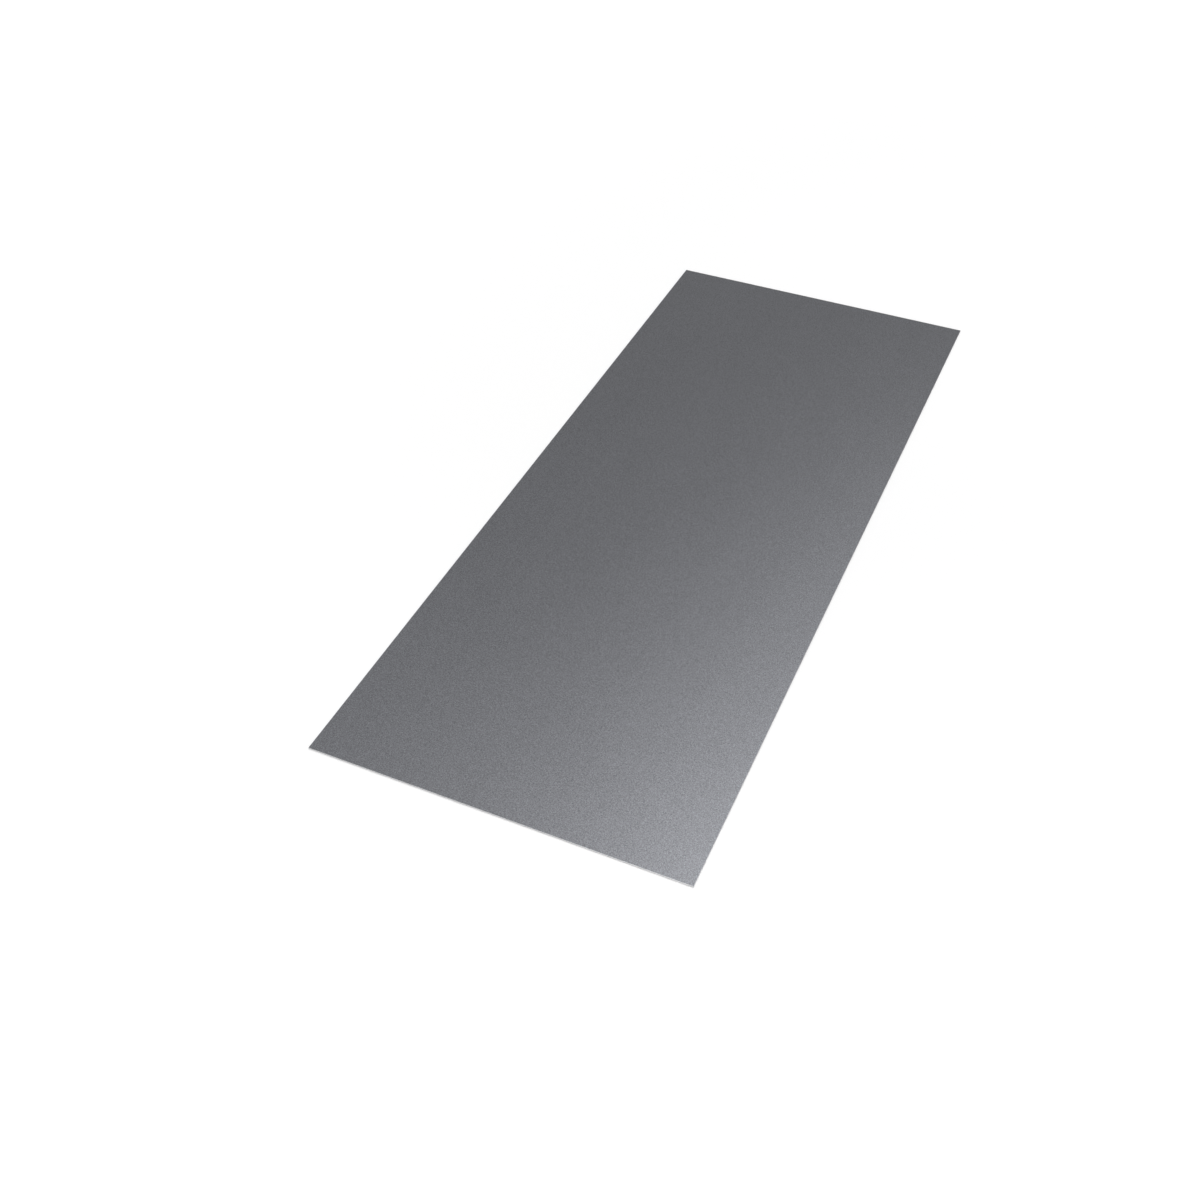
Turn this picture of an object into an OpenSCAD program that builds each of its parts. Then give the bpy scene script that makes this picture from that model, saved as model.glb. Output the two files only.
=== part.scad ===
// Flat rectangular steel plate, cut to a stock size and lying on its underside.
//
// The origin is at the centre of the underside. X runs across the plate,
// Y runs along its rolled length and Z points up through its thickness.
// The cut edges are broken to a small radius along both faces, and that
// rounding rolls without a step around the four corners. Sizes are in mm.

/* [Plate] */
// Width, across the rolling direction (48 in)
plate_width = 1219.2; // [300:0.1:2500]
// Length, along the rolling direction (120 in)
plate_length = 3048; // [500:0.1:12000]
// Thickness (3/16 in)
plate_thickness = 4.7625; // [3:0.0025:25]

/* [Edges] */
// Radius that breaks the cut edges, along the top and bottom faces
edge_radius = 0.6; // [0.2:0.05:1]
// Radius of the four corners, seen from above
corner_radius = 1.5; // [1.2:0.1:50]

/* [Hidden] */
$fn = 64;

// Where the axes of the four rounded corners stand
corner_x = plate_width / 2 - corner_radius;
corner_y = plate_length / 2 - corner_radius;

// Cross-section of a run of plate, standing on the X axis: flat faces above
// and below, straight cut edges at both ends and four broken edges between them.
module plate_section(across) {
    face = across - 2 * edge_radius;
    wall = plate_thickness - 2 * edge_radius;
    translate([-face / 2, 0]) square([face, plate_thickness]);
    translate([-across / 2, edge_radius]) square([across, wall]);
    for (x = [-face / 2, face / 2], y = [edge_radius, edge_radius + wall])
        translate([x, y]) circle(r = edge_radius);
}

// The plate between its end corners, at its full width
module full_width_run() {
    rotate([90, 0, 0])
        linear_extrude(2 * corner_y, center = true) plate_section(plate_width);
}

// The plate between its side corners, at its full length
module full_length_run() {
    rotate([90, 0, 90])
        linear_extrude(2 * corner_x, center = true) plate_section(plate_length);
}

// One quarter-round corner about the Z axis, in the quadrant of +X and +Y
module rounded_corner() {
    rotate_extrude(angle = 90)
        intersection() {
            plate_section(2 * corner_radius);
            square([corner_radius, plate_thickness]);
        }
}

module plate() {
    color("dimgray") {
        full_width_run();
        full_length_run();
        for (x = [0, 1], y = [0, 1])
            mirror([x, 0, 0]) mirror([0, y, 0])
                translate([corner_x, corner_y, 0]) rounded_corner();
    }
}

plate();
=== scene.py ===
import math

import bpy
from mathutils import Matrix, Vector


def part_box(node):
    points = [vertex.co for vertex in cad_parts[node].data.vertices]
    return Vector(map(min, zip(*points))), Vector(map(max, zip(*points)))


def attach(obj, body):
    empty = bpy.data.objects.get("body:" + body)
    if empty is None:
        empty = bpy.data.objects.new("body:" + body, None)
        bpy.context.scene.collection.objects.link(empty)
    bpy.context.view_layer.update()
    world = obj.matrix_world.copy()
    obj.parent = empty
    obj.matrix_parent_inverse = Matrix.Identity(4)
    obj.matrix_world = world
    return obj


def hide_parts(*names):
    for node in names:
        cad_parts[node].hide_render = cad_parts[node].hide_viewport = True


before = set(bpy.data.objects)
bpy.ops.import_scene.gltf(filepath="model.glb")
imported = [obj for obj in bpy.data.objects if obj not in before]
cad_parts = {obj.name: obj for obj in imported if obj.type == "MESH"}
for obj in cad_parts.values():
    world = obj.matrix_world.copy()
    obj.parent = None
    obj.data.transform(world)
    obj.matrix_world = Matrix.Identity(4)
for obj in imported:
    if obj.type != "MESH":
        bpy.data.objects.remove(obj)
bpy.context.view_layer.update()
plateLow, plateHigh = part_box("plate")
plateSize = plateHigh - plateLow
print("frame loaded, plate", [round(side * 1000, 2) for side in plateSize], "mm")

scene = bpy.context.scene
scene.view_settings.view_transform = "Standard"


# Small helpers for node trees

def addNode(tree, kind, inputs=None, **settings):
    node = tree.nodes.new(kind)
    for name, value in settings.items():
        setattr(node, name, value)
    for name, value in (inputs or {}).items():
        node.inputs[name].default_value = value
    return node


def wire(tree, source, target):
    tree.links.new(source, target)


def addSocket(tree, name, kind, inOut="INPUT", value=None):
    socket = tree.interface.new_socket(name=name, in_out=inOut, socket_type=kind)
    if value is not None:
        socket.default_value = value


def mathNode(tree, operation, first, second=None):
    node = addNode(tree, "ShaderNodeMath", operation=operation)
    for slot, value in enumerate((first, second)):
        if hasattr(value, "is_output"):
            wire(tree, value, node.inputs[slot])
        elif value is not None:
            node.inputs[slot].default_value = value
    return node.outputs[0]


def rampNode(tree, value, low, high, toLow=0.0, toHigh=1.0):
    node = addNode(tree, "ShaderNodeMapRange", interpolation_type="SMOOTHSTEP")
    node.inputs["From Min"].default_value = low
    node.inputs["From Max"].default_value = high
    node.inputs["To Min"].default_value = toLow
    node.inputs["To Max"].default_value = toHigh
    wire(tree, value, node.inputs["Value"])
    return node.outputs["Result"]


def mixColours(tree, factor, first, second, blend="MIX"):
    node = addNode(tree, "ShaderNodeMix", data_type="RGBA", blend_type=blend, clamp_factor=True)
    for socket, value in ((node.inputs[0], factor), (node.inputs[6], first), (node.inputs[7], second)):
        if hasattr(value, "is_output"):
            wire(tree, value, socket)
        else:
            socket.default_value = value
    return node.outputs[2]


# Camera: level, from the near right, looking down the length of the plate

cameraSetup = {
    "azimuth": 24.02,          # degrees round from the near side
    "elevation": 42.71,        # degrees above the floor
    "distance": 4.6507,        # metres from the aim
    "aim": (-0.0868, -0.5818, 0.0),
    "lens": 42.41,             # mm
    "sensor": 36.0,            # mm wide
    "clipEnd": 200.0,          # metres, past the floor's end
}


def placeCamera(setup):
    data = bpy.data.cameras.new("plateCamera")
    data.sensor_width = setup["sensor"]
    data.lens = setup["lens"]
    data.clip_end = setup["clipEnd"]
    camera = bpy.data.objects.new("plateCamera", data)
    scene.collection.objects.link(camera)
    turn = math.radians(setup["azimuth"])
    rise = math.radians(setup["elevation"])
    back = Vector((math.sin(turn) * math.cos(rise), -math.cos(turn) * math.cos(rise), math.sin(rise)))
    camera.location = Vector(setup["aim"]) + back * setup["distance"]
    camera.rotation_euler = back.to_track_quat("Z", "Y").to_euler()
    scene.camera = camera
    print("camera at", [round(x, 3) for x in camera.location])


placeCamera(cameraSetup)


# Studio: pale walls round the horizon, a dimmer ceiling and soft boxes overhead

studioRoom = {
    "wallLevel": 1.0,
    "ceilingLevel": 0.506,
    "wallTop": 8.5,            # degrees above the horizon where the pale walls start to fade
    "ceilingFrom": 12.5,       # degrees where only the ceiling is left
}

softBoxes = {
    "overheadBox": {"place": (0.54, 0.72, 5.09), "side": 2.0, "watts": 65.8},
    "farPanel": {"place": (1.0, 2.0, 3.5), "side": 3.0, "watts": 31.1},
    "leftPanel": {"place": (-1.5, 0.0, 4.0), "side": 3.0, "watts": 14.6},
    "frontBox": {"place": (1.5, -4.0, 3.0), "side": 2.0, "watts": 50.0},
}


def lightRoom(room):
    world = bpy.data.worlds.new("studioRoom")
    scene.world = world
    world.use_nodes = True
    tree = world.node_tree
    background = tree.nodes["Background"]
    direction = addNode(tree, "ShaderNodeTexCoord")
    split = addNode(tree, "ShaderNodeSeparateXYZ")
    wire(tree, direction.outputs["Generated"], split.inputs[0])
    low, high = (math.sin(math.radians(room[name])) for name in ("wallTop", "ceilingFrom"))
    level = rampNode(tree, split.outputs["Z"], low, high, room["wallLevel"], room["ceilingLevel"])
    background.inputs["Color"].default_value = (1, 1, 1, 1)
    wire(tree, level, background.inputs["Strength"])


def hangBox(name, box):
    data = bpy.data.lights.new(name, "AREA")
    data.shape = "SQUARE"
    data.size = box["side"]
    data.energy = box["watts"]
    lamp = bpy.data.objects.new(name, data)
    scene.collection.objects.link(lamp)
    lamp.location = box["place"]
    # Each box faces the middle of the plate
    lamp.rotation_euler = Vector(box["place"]).to_track_quat("Z", "Y").to_euler()
    lamp.visible_camera = False


lightRoom(studioRoom)
for boxName, box in softBoxes.items():
    hangBox(boxName, box)
print("studio lit by", len(softBoxes), "soft boxes")


# Floor: white paper that the plate lies on

floorPaper = {
    "reach": 60.0,             # metres from the plate to the floor's end
    "colour": (0.93, 0.93, 0.93, 1),
    "roughness": 0.9,
    "glowMiddle": (0.42, 0.38, 0.0),    # where the soft boxes light the paper most
    "glowOval": (1.156, 1.0, 1.0),      # their light falls off faster across the plate than along it
    "glowReach": 10.4,         # metres from the middle to the full glow, along the plate
    "glowNear": 0.006,         # strength in that middle
    "glowFar": 1.0,            # strength at the reach and beyond
}


def layFloor(paper):
    reach = paper["reach"]
    mesh = bpy.data.meshes.new("floorPaper")
    corners = [(-reach, -reach, 0), (reach, -reach, 0), (reach, reach, 0), (-reach, reach, 0)]
    mesh.from_pydata(corners, [], [(0, 1, 2, 3)])
    floor = bpy.data.objects.new("floorPaper", mesh)
    floor.location.z = plateLow.z
    scene.collection.objects.link(floor)
    material = bpy.data.materials.new("floorPaper")
    material.use_nodes = True
    tree = material.node_tree
    shader = tree.nodes["Principled BSDF"]
    shader.inputs["Base Color"].default_value = paper["colour"]
    shader.inputs["Roughness"].default_value = paper["roughness"]
    shader.inputs["Specular IOR Level"].default_value = 0.0
    shader.inputs["Emission Color"].default_value = (1, 1, 1, 1)
    # The white background: only seen and mirrored rays find the glow, so it adds no light
    place = addNode(tree, "ShaderNodeTexCoord")
    spread = addNode(tree, "ShaderNodeVectorMath", operation="SUBTRACT")
    wire(tree, place.outputs["Object"], spread.inputs[0])
    spread.inputs[1].default_value = paper["glowMiddle"]
    oval = addNode(tree, "ShaderNodeVectorMath", operation="MULTIPLY")
    wire(tree, spread.outputs[0], oval.inputs[0])
    oval.inputs[1].default_value = paper["glowOval"]
    away = addNode(tree, "ShaderNodeVectorMath", operation="LENGTH")
    wire(tree, oval.outputs[0], away.inputs[0])
    glow = rampNode(tree, away.outputs["Value"], 0.0, paper["glowReach"],
                    paper["glowNear"], paper["glowFar"])
    path = addNode(tree, "ShaderNodeLightPath")
    seen = mathNode(tree, "MAXIMUM", path.outputs["Is Camera Ray"], path.outputs["Is Glossy Ray"])
    seen = mathNode(tree, "MAXIMUM", seen, path.outputs["Is Transmission Ray"])
    wire(tree, mathNode(tree, "MULTIPLY", glow, seen), shader.inputs["Emission Strength"])
    mesh.materials.append(material)


layFloor(floorPaper)
print("floor laid")


# Steel finishes: the dark rolled skin and the bright sheared edge share their grain and their wear

steelFinish = {
    "skinColour": (0.2, 0.2043, 0.219, 1),
    "bareColour": (0.74, 0.74, 0.745, 1),
    "tornColour": (0.58, 0.58, 0.585, 1),
    "skinRoughness": 0.4,
    "bareRoughness": 0.3,
    "tornRoughness": 0.44,
    "grainSize": 0.0031,       # metres across one grain of the rolled skin
    "grainDepth": 0.0003,      # metres of relief
    "grainShade": 1.8,         # how far one grain is lighter or darker
    "edgeGrainShade": 0.25,
    "mottleSize": 0.16,        # metres across one faint patch
    "mottleStretch": 5.0,      # patches are longer along the rolling direction
    "mottleShade": 0.06,
    "mottlePolish": 0.4,       # how far a patch is more or less polished, against one grain
    "polishSpread": 0.08,      # how far the skin's roughness follows its grain and patches
    "shearPitch": 0.0005,      # metres between the shear marks on the cut edge
    "shearDepth": 0.00002,
    "shearSqueeze": 0.08,      # share of their size along Z, so that the marks run up the cut
    "shearStreak": 0.2,        # how far the roughness follows the marks
    "shearLine": 0.6,          # share of the thickness where the smooth part of the cut starts
    "shearWander": 90.0,       # waves of that line in a metre
    "shearBlur": 0.08,         # how soft the line is
    "wearReach": 0.0007,       # metres in from the outline to where the skin has rubbed away
    "wearWidth": 0.0005,       # metres over which it fades
    "wearRag": 4.0,            # how far that line is ragged, in widths
}


def steelGrainGroup():
    group = bpy.data.node_groups.new("steelGrain", "ShaderNodeTree")
    addSocket(group, "Vector", "NodeSocketVector")
    addSocket(group, "Grain Scale", "NodeSocketFloat", value=350.0)
    addSocket(group, "Grain Shade", "NodeSocketFloat", value=0.05)
    addSocket(group, "Mottle Scale", "NodeSocketFloat", value=6.0)
    addSocket(group, "Mottle Shade", "NodeSocketFloat", value=0.03)
    addSocket(group, "Mottle Polish", "NodeSocketFloat", value=0.4)
    addSocket(group, "Mottle Stretch", "NodeSocketVector", value=(1.0, 0.2, 1.0))
    for name in ("Shade", "Polish", "Height"):
        addSocket(group, name, "NodeSocketFloat", "OUTPUT")
    inside = addNode(group, "NodeGroupInput").outputs
    outside = addNode(group, "NodeGroupOutput").inputs
    grain = addNode(group, "ShaderNodeTexNoise", {"Detail": 3.0, "Roughness": 0.42})
    wire(group, inside["Vector"], grain.inputs["Vector"])
    wire(group, inside["Grain Scale"], grain.inputs["Scale"])
    stretched = addNode(group, "ShaderNodeVectorMath", operation="MULTIPLY")
    wire(group, inside["Vector"], stretched.inputs[0])
    wire(group, inside["Mottle Stretch"], stretched.inputs[1])
    mottle = addNode(group, "ShaderNodeTexNoise", {"Detail": 4.0, "Roughness": 0.55})
    wire(group, stretched.outputs[0], mottle.inputs["Vector"])
    wire(group, inside["Mottle Scale"], mottle.inputs["Scale"])
    fine = mathNode(group, "SUBTRACT", grain.outputs[0], 0.5)
    broad = mathNode(group, "SUBTRACT", mottle.outputs[0], 0.5)
    shade = mathNode(group, "MULTIPLY", fine, inside["Grain Shade"])
    patch = mathNode(group, "MULTIPLY", broad, inside["Mottle Shade"])
    shade = mathNode(group, "ADD", mathNode(group, "ADD", shade, patch), 1.0)
    wire(group, shade, outside["Shade"])
    patch = mathNode(group, "MULTIPLY", broad, inside["Mottle Polish"])
    wire(group, mathNode(group, "ADD", patch, fine), outside["Polish"])
    wire(group, grain.outputs[0], outside["Height"])
    return group


def edgeWearGroup():
    # Runs from 0 on the faces to 1 on the cut edge, with a ragged line between them
    group = bpy.data.node_groups.new("edgeWear", "ShaderNodeTree")
    addSocket(group, "Vector", "NodeSocketVector")
    addSocket(group, "Half Size", "NodeSocketVector")
    addSocket(group, "Reach", "NodeSocketFloat", value=0.0007)
    addSocket(group, "Width", "NodeSocketFloat", value=0.0005)
    addSocket(group, "Rag", "NodeSocketFloat", value=4.0)
    addSocket(group, "Bare", "NodeSocketFloat", "OUTPUT")
    inside = addNode(group, "NodeGroupInput").outputs
    outside = addNode(group, "NodeGroupOutput").inputs
    away = addNode(group, "ShaderNodeVectorMath", operation="ABSOLUTE")
    wire(group, inside["Vector"], away.inputs[0])
    inset = addNode(group, "ShaderNodeVectorMath", operation="SUBTRACT")
    wire(group, inside["Half Size"], inset.inputs[0])
    wire(group, away.outputs[0], inset.inputs[1])
    sides = addNode(group, "ShaderNodeSeparateXYZ")
    wire(group, inset.outputs[0], sides.inputs[0])
    inPlan = mathNode(group, "MINIMUM", sides.outputs["X"], sides.outputs["Y"])
    across = mathNode(group, "SUBTRACT", sides.outputs["Z"], inPlan)
    across = mathNode(group, "ADD", across, inside["Reach"])
    rag = addNode(group, "ShaderNodeTexNoise", {"Scale": 420.0, "Detail": 4.0, "Roughness": 0.65})
    wire(group, inside["Vector"], rag.inputs["Vector"])
    shift = mathNode(group, "SUBTRACT", rag.outputs[0], 0.5)
    shift = mathNode(group, "MULTIPLY", shift, inside["Rag"])
    steps = mathNode(group, "DIVIDE", across, inside["Width"])
    wire(group, rampNode(group, mathNode(group, "ADD", steps, shift), -1.0, 1.0), outside["Bare"])
    return group


steelGrain = steelGrainGroup()
edgeWear = edgeWearGroup()


def startSteel(name, finish, grainShade):
    # What both finishes have in common: the grain and the wear
    material = bpy.data.materials.new(name)
    material.use_nodes = True
    tree = material.node_tree
    shader = tree.nodes["Principled BSDF"]
    shader.inputs["Metallic"].default_value = 1.0
    place = addNode(tree, "ShaderNodeTexCoord")
    middle = addNode(tree, "ShaderNodeVectorMath", operation="SUBTRACT")
    wire(tree, place.outputs["Object"], middle.inputs[0])
    middle.inputs[1].default_value = (plateLow + plateHigh) / 2
    grain = addNode(tree, "ShaderNodeGroup", node_tree=steelGrain)
    wire(tree, middle.outputs[0], grain.inputs["Vector"])
    grain.inputs["Grain Scale"].default_value = 1.0 / finish["grainSize"]
    grain.inputs["Grain Shade"].default_value = grainShade
    grain.inputs["Mottle Scale"].default_value = 1.0 / finish["mottleSize"]
    grain.inputs["Mottle Shade"].default_value = finish["mottleShade"]
    grain.inputs["Mottle Polish"].default_value = finish["mottlePolish"]
    grain.inputs["Mottle Stretch"].default_value = (1.0, 1.0 / finish["mottleStretch"], 1.0)
    wear = addNode(tree, "ShaderNodeGroup", node_tree=edgeWear)
    wire(tree, middle.outputs[0], wear.inputs["Vector"])
    wear.inputs["Half Size"].default_value = plateSize / 2
    wear.inputs["Reach"].default_value = finish["wearReach"]
    wear.inputs["Width"].default_value = finish["wearWidth"]
    wear.inputs["Rag"].default_value = finish["wearRag"]
    return material, tree, shader, middle.outputs[0], grain.outputs, wear.outputs["Bare"]


def rolledSkin(finish):
    material, tree, shader, _, grain, bare = startSteel("rolledSkin", finish, finish["grainShade"])
    colour = mixColours(tree, bare, finish["skinColour"], finish["bareColour"])
    wire(tree, mixColours(tree, 1.0, colour, grain["Shade"], "MULTIPLY"), shader.inputs["Base Color"])
    level = mathNode(tree, "MULTIPLY", grain["Polish"], finish["polishSpread"])
    wire(tree, mathNode(tree, "ADD", level, finish["skinRoughness"]), shader.inputs["Roughness"])
    bump = addNode(tree, "ShaderNodeBump", {"Strength": 1.0, "Distance": finish["grainDepth"]})
    wire(tree, grain["Height"], bump.inputs["Height"])
    wire(tree, bump.outputs["Normal"], shader.inputs["Normal"])
    return material


def shearedEdge(finish):
    started = startSteel("shearedEdge", finish, finish["edgeGrainShade"])
    material, tree, shader, place, grain, bare = started
    # Shear marks run up the cut, so the pattern is squeezed along Z
    squeezed = addNode(tree, "ShaderNodeMapping")
    squeezed.inputs["Scale"].default_value = (1.0, 1.0, finish["shearSqueeze"])
    wire(tree, place, squeezed.inputs["Vector"])
    marks = addNode(tree, "ShaderNodeTexNoise", {"Scale": 1.0 / finish["shearPitch"], "Detail": 3.0})
    wire(tree, squeezed.outputs["Vector"], marks.inputs["Vector"])
    # The blade leaves the upper part of the cut smooth, and the rest tears off below a wandering line
    height = addNode(tree, "ShaderNodeSeparateXYZ")
    wire(tree, place, height.inputs[0])
    wander = addNode(tree, "ShaderNodeTexNoise", {"Detail": 5.0, "Roughness": 0.6})
    wander.inputs["Scale"].default_value = finish["shearWander"]
    wire(tree, place, wander.inputs["Vector"])
    share = mathNode(tree, "DIVIDE", height.outputs["Z"], plateSize.z)
    share = mathNode(tree, "ADD", share, wander.outputs[0])
    line, blur = finish["shearLine"], finish["shearBlur"]
    smooth = rampNode(tree, share, line - blur, line + blur)
    cut = mixColours(tree, smooth, finish["tornColour"], finish["bareColour"])
    colour = mixColours(tree, bare, finish["skinColour"], cut)
    wire(tree, mixColours(tree, 1.0, colour, grain["Shade"], "MULTIPLY"), shader.inputs["Base Color"])
    rough = rampNode(tree, smooth, 0.0, 1.0, finish["tornRoughness"], finish["bareRoughness"])
    streaks = mathNode(tree, "SUBTRACT", marks.outputs[0], 0.5)
    streaks = mathNode(tree, "MULTIPLY", streaks, finish["shearStreak"])
    wire(tree, mathNode(tree, "ADD", rough, streaks), shader.inputs["Roughness"])
    bump = addNode(tree, "ShaderNodeBump", {"Strength": 1.0, "Distance": finish["shearDepth"]})
    wire(tree, marks.outputs[0], bump.inputs["Height"])
    wire(tree, bump.outputs["Normal"], shader.inputs["Normal"])
    return material


skinMaterial = rolledSkin(steelFinish)
edgeMaterial = shearedEdge(steelFinish)
print("steel finishes made")


# Plate: a section with broken edges, swept round a rectangle with tight corners

plateShape = {
    "Width": plateSize.x,
    "Length": plateSize.y,
    "Thickness": plateSize.z,
    "Edge Radius": 0.0006,
    "Corner Radius": 0.0015,
    "Rim": 0.0005,             # flat strip of each face that the sweep takes in
    "Edge Steps": 8,
    "Corner Steps": 8,
    "Skin": skinMaterial,
    "Edge": edgeMaterial,
}

flatFacing = 0.9995           # a face as upright as this is on the top or the underside


def plateSweep():
    tree = bpy.data.node_groups.new("plateSweep", "GeometryNodeTree")
    addSocket(tree, "Geometry", "NodeSocketGeometry")
    for name in ("Width", "Length", "Thickness", "Edge Radius", "Corner Radius", "Rim"):
        addSocket(tree, name, "NodeSocketFloat")
    for name in ("Edge Steps", "Corner Steps"):
        addSocket(tree, name, "NodeSocketInt")
    for name in ("Skin", "Edge"):
        addSocket(tree, name, "NodeSocketMaterial")
    addSocket(tree, "Geometry", "NodeSocketGeometry", "OUTPUT")
    sizes = addNode(tree, "NodeGroupInput").outputs
    result = addNode(tree, "NodeGroupOutput").inputs

    # Outline of the plate, seen from above
    outline = addNode(tree, "GeometryNodeCurvePrimitiveQuadrilateral", mode="RECTANGLE")
    wire(tree, sizes["Width"], outline.inputs["Width"])
    wire(tree, sizes["Length"], outline.inputs["Height"])
    rounded = addNode(tree, "GeometryNodeFilletCurve")
    rounded.mode = "POLY"
    wire(tree, outline.outputs["Curve"], rounded.inputs["Curve"])
    wire(tree, sizes["Corner Radius"], rounded.inputs["Radius"])
    wire(tree, sizes["Corner Steps"], rounded.inputs["Count"])
    level = addNode(tree, "GeometryNodeSetCurveNormal")
    level.mode = "Z_UP"
    wire(tree, rounded.outputs["Curve"], level.inputs["Curve"])

    # Section of the rim: out along the top, down the cut edge and back in along the underside
    inset = mathNode(tree, "MULTIPLY", mathNode(tree, "ADD", sizes["Rim"], sizes["Edge Radius"]), -1.0)
    top = mathNode(tree, "MULTIPLY", sizes["Thickness"], -1.0)
    corners = addNode(tree, "GeometryNodeIndexSwitch", data_type="VECTOR")
    for _ in range(2):
        corners.index_switch_items.new()
    wire(tree, addNode(tree, "GeometryNodeInputIndex").outputs[0], corners.inputs["Index"])
    for step, (x, y) in enumerate(((inset, top), (None, top), (None, None), (inset, None))):
        point = addNode(tree, "ShaderNodeCombineXYZ")
        for axis, value in (("X", x), ("Y", y)):
            if value is not None:
                wire(tree, value, point.inputs[axis])
        wire(tree, point.outputs[0], corners.inputs[step + 1])
    dots = addNode(tree, "GeometryNodePoints", {"Count": 4})
    wire(tree, corners.outputs[0], dots.inputs["Position"])
    section = addNode(tree, "GeometryNodePointsToCurves")
    wire(tree, dots.outputs[0], section.inputs["Points"])
    broken = addNode(tree, "GeometryNodeFilletCurve")
    broken.mode = "POLY"
    wire(tree, section.outputs["Curves"], broken.inputs["Curve"])
    wire(tree, sizes["Edge Radius"], broken.inputs["Radius"])
    wire(tree, sizes["Edge Steps"], broken.inputs["Count"])

    rim = addNode(tree, "GeometryNodeCurveToMesh")
    wire(tree, level.outputs["Curve"], rim.inputs["Curve"])
    wire(tree, broken.outputs["Curve"], rim.inputs["Profile Curve"])
    smooth = addNode(tree, "GeometryNodeSetShadeSmooth", {"Shade Smooth": True})
    wire(tree, rim.outputs["Mesh"], smooth.inputs["Geometry"])

    # Faces: the two open loops of the rim, each filled as one flat face
    beside = addNode(tree, "GeometryNodeInputMeshEdgeNeighbors")
    openEdge = addNode(tree, "FunctionNodeCompare", data_type="INT", operation="EQUAL")
    wire(tree, beside.outputs["Face Count"], openEdge.inputs["A"])
    openEdge.inputs["B"].default_value = 1
    height = addNode(tree, "ShaderNodeSeparateXYZ")
    wire(tree, addNode(tree, "GeometryNodeInputPosition").outputs[0], height.inputs[0])
    half = mathNode(tree, "MULTIPLY", sizes["Thickness"], 0.5)
    joined = addNode(tree, "GeometryNodeJoinGeometry")
    for operation in ("GREATER_THAN", "LESS_THAN"):
        side = addNode(tree, "FunctionNodeCompare", data_type="FLOAT", operation=operation)
        wire(tree, height.outputs["Z"], side.inputs["A"])
        wire(tree, half, side.inputs["B"])
        both = addNode(tree, "FunctionNodeBooleanMath", operation="AND")
        wire(tree, openEdge.outputs[0], both.inputs[0])
        wire(tree, side.outputs[0], both.inputs[1])
        loop = addNode(tree, "GeometryNodeMeshToCurve")
        wire(tree, rim.outputs["Mesh"], loop.inputs["Mesh"])
        wire(tree, both.outputs[0], loop.inputs["Selection"])
        face = addNode(tree, "GeometryNodeFillCurve")
        face.mode = "NGONS"
        wire(tree, loop.outputs["Curve"], face.inputs["Curve"])
        if operation == "GREATER_THAN":
            lift = addNode(tree, "GeometryNodeTransform")
            offset = addNode(tree, "ShaderNodeCombineXYZ")
            wire(tree, sizes["Thickness"], offset.inputs["Z"])
            wire(tree, offset.outputs[0], lift.inputs["Translation"])
            wire(tree, face.outputs["Mesh"], lift.inputs["Geometry"])
            wire(tree, lift.outputs["Geometry"], joined.inputs[0])
        else:
            flip = addNode(tree, "GeometryNodeFlipFaces")
            wire(tree, face.outputs["Mesh"], flip.inputs["Mesh"])
            wire(tree, flip.outputs["Mesh"], joined.inputs[0])
    wire(tree, smooth.outputs["Geometry"], joined.inputs[0])
    welded = addNode(tree, "GeometryNodeMergeByDistance", {"Distance": 1e-6})
    wire(tree, joined.outputs["Geometry"], welded.inputs["Geometry"])

    # Skin on the flat faces, cut metal on everything that turns down from them
    real = addNode(tree, "GeometryNodeRealizeInstances")
    wire(tree, welded.outputs["Geometry"], real.inputs["Geometry"])
    skin = addNode(tree, "GeometryNodeSetMaterial")
    wire(tree, real.outputs["Geometry"], skin.inputs["Geometry"])
    wire(tree, sizes["Skin"], skin.inputs["Material"])
    facing = addNode(tree, "ShaderNodeSeparateXYZ")
    wire(tree, addNode(tree, "GeometryNodeInputNormal").outputs[0], facing.inputs[0])
    upright = mathNode(tree, "ABSOLUTE", facing.outputs["Z"])
    turned = addNode(tree, "FunctionNodeCompare", data_type="FLOAT", operation="LESS_THAN")
    wire(tree, upright, turned.inputs["A"])
    turned.inputs["B"].default_value = flatFacing
    edge = addNode(tree, "GeometryNodeSetMaterial")
    wire(tree, skin.outputs["Geometry"], edge.inputs["Geometry"])
    wire(tree, turned.outputs[0], edge.inputs["Selection"])
    wire(tree, sizes["Edge"], edge.inputs["Material"])
    wire(tree, edge.outputs["Geometry"], result["Geometry"])
    return tree


def buildPlate(shape):
    tree = plateSweep()
    plate = bpy.data.objects.new("steelPlate", bpy.data.meshes.new("plateStart"))
    scene.collection.objects.link(plate)
    modifier = plate.modifiers.new("plateSweep", "NODES")
    modifier.node_group = tree
    for item in tree.interface.items_tree:
        if item.in_out == "INPUT" and item.name in shape:
            modifier[item.identifier] = shape[item.name]
    depsgraph = bpy.context.evaluated_depsgraph_get()
    mesh = bpy.data.meshes.new_from_object(plate.evaluated_get(depsgraph), depsgraph=depsgraph)
    mesh.name = "steelPlate"
    plate.modifiers.remove(modifier)
    plate.data = mesh
    print("plate built,", len(mesh.polygons), "faces,", len(mesh.vertices), "points")
    return plate


# Map for baking: the two faces upright side by side, and each cut edge as a widened strip of its own

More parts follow.
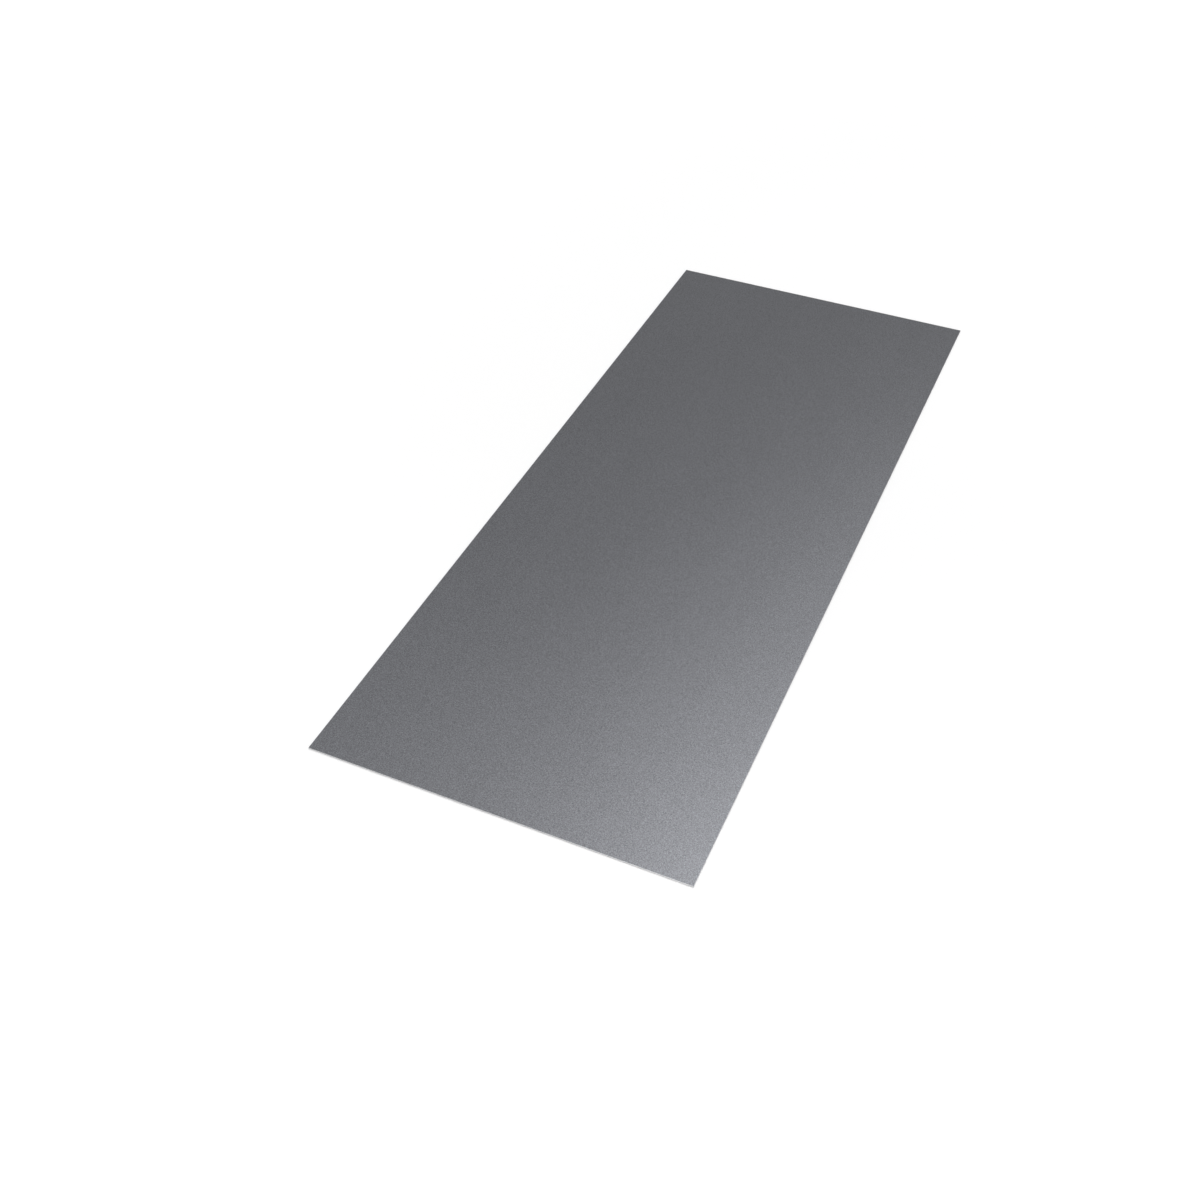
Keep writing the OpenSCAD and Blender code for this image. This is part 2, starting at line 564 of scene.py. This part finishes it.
bakeLayout = {
    "name": "OFBake",
    "topWidth": 0.6,           # shares of the map's width
    "undersideWidth": 0.24,
    "edgeWidth": 0.032,
    "gap": 0.012,
    "margin": 0.004,           # share of the map left free at both ends of a strip
}


def layBakeMap(plate, layout, shape):
    mesh = plate.data
    half = plateSize / 2
    centre = (plateLow + plateHigh) / 2
    corner = shape["Corner Radius"]
    broken = shape["Edge Radius"]
    starts = [layout["gap"]]
    for name in ("topWidth", "undersideWidth", "edgeWidth", "edgeWidth"):
        starts.append(starts[-1] + layout[name] + layout["gap"])

    def strip(place, low, high):
        return low + layout["margin"] + (high - low - 2 * layout["margin"]) * place

    def acrossEdge(spot):
        # Way up the section, from the underside's rim to the top's
        beyond = [max(abs(spot[axis]) - half[axis] + corner, 0.0) for axis in (0, 1)]
        inset = corner - math.hypot(*beyond)
        way = spot.z + half.z + (inset if spot.z > 0 else -inset)
        return (way + broken) / (plateSize.z + 2 * broken)

    layer = mesh.uv_layers.new(name=layout["name"])
    for face in mesh.polygons:
        normal = face.normal
        for loop in face.loop_indices:
            spot = mesh.vertices[mesh.loops[loop].vertex_index].co - centre
            across = (spot.x + half.x) / plateSize.x
            along = (spot.y + half.y) / plateSize.y
            if normal.z > flatFacing:
                u = starts[0] + layout["topWidth"] * across
                v = strip(along, 0.0, 1.0)
            elif normal.z < -flatFacing:
                u = starts[1] + layout["undersideWidth"] * (1.0 - across)
                v = strip(along, 0.0, 1.0)
            elif abs(normal.x) >= abs(normal.y):
                u = starts[2 if normal.x > 0 else 3] + layout["edgeWidth"] * acrossEdge(spot)
                v = strip(along, 0.0, 1.0)
            else:
                u = starts[4] + layout["edgeWidth"] * acrossEdge(spot)
                v = strip(across, 0.5, 1.0) if normal.y > 0 else strip(across, 0.0, 0.5)
            layer.data[loop].uv = (u, v)
    print("bake map laid over", len(mesh.polygons), "faces")


plate = buildPlate(plateShape)
layBakeMap(plate, bakeLayout, plateShape)
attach(plate, "root")
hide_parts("plate")
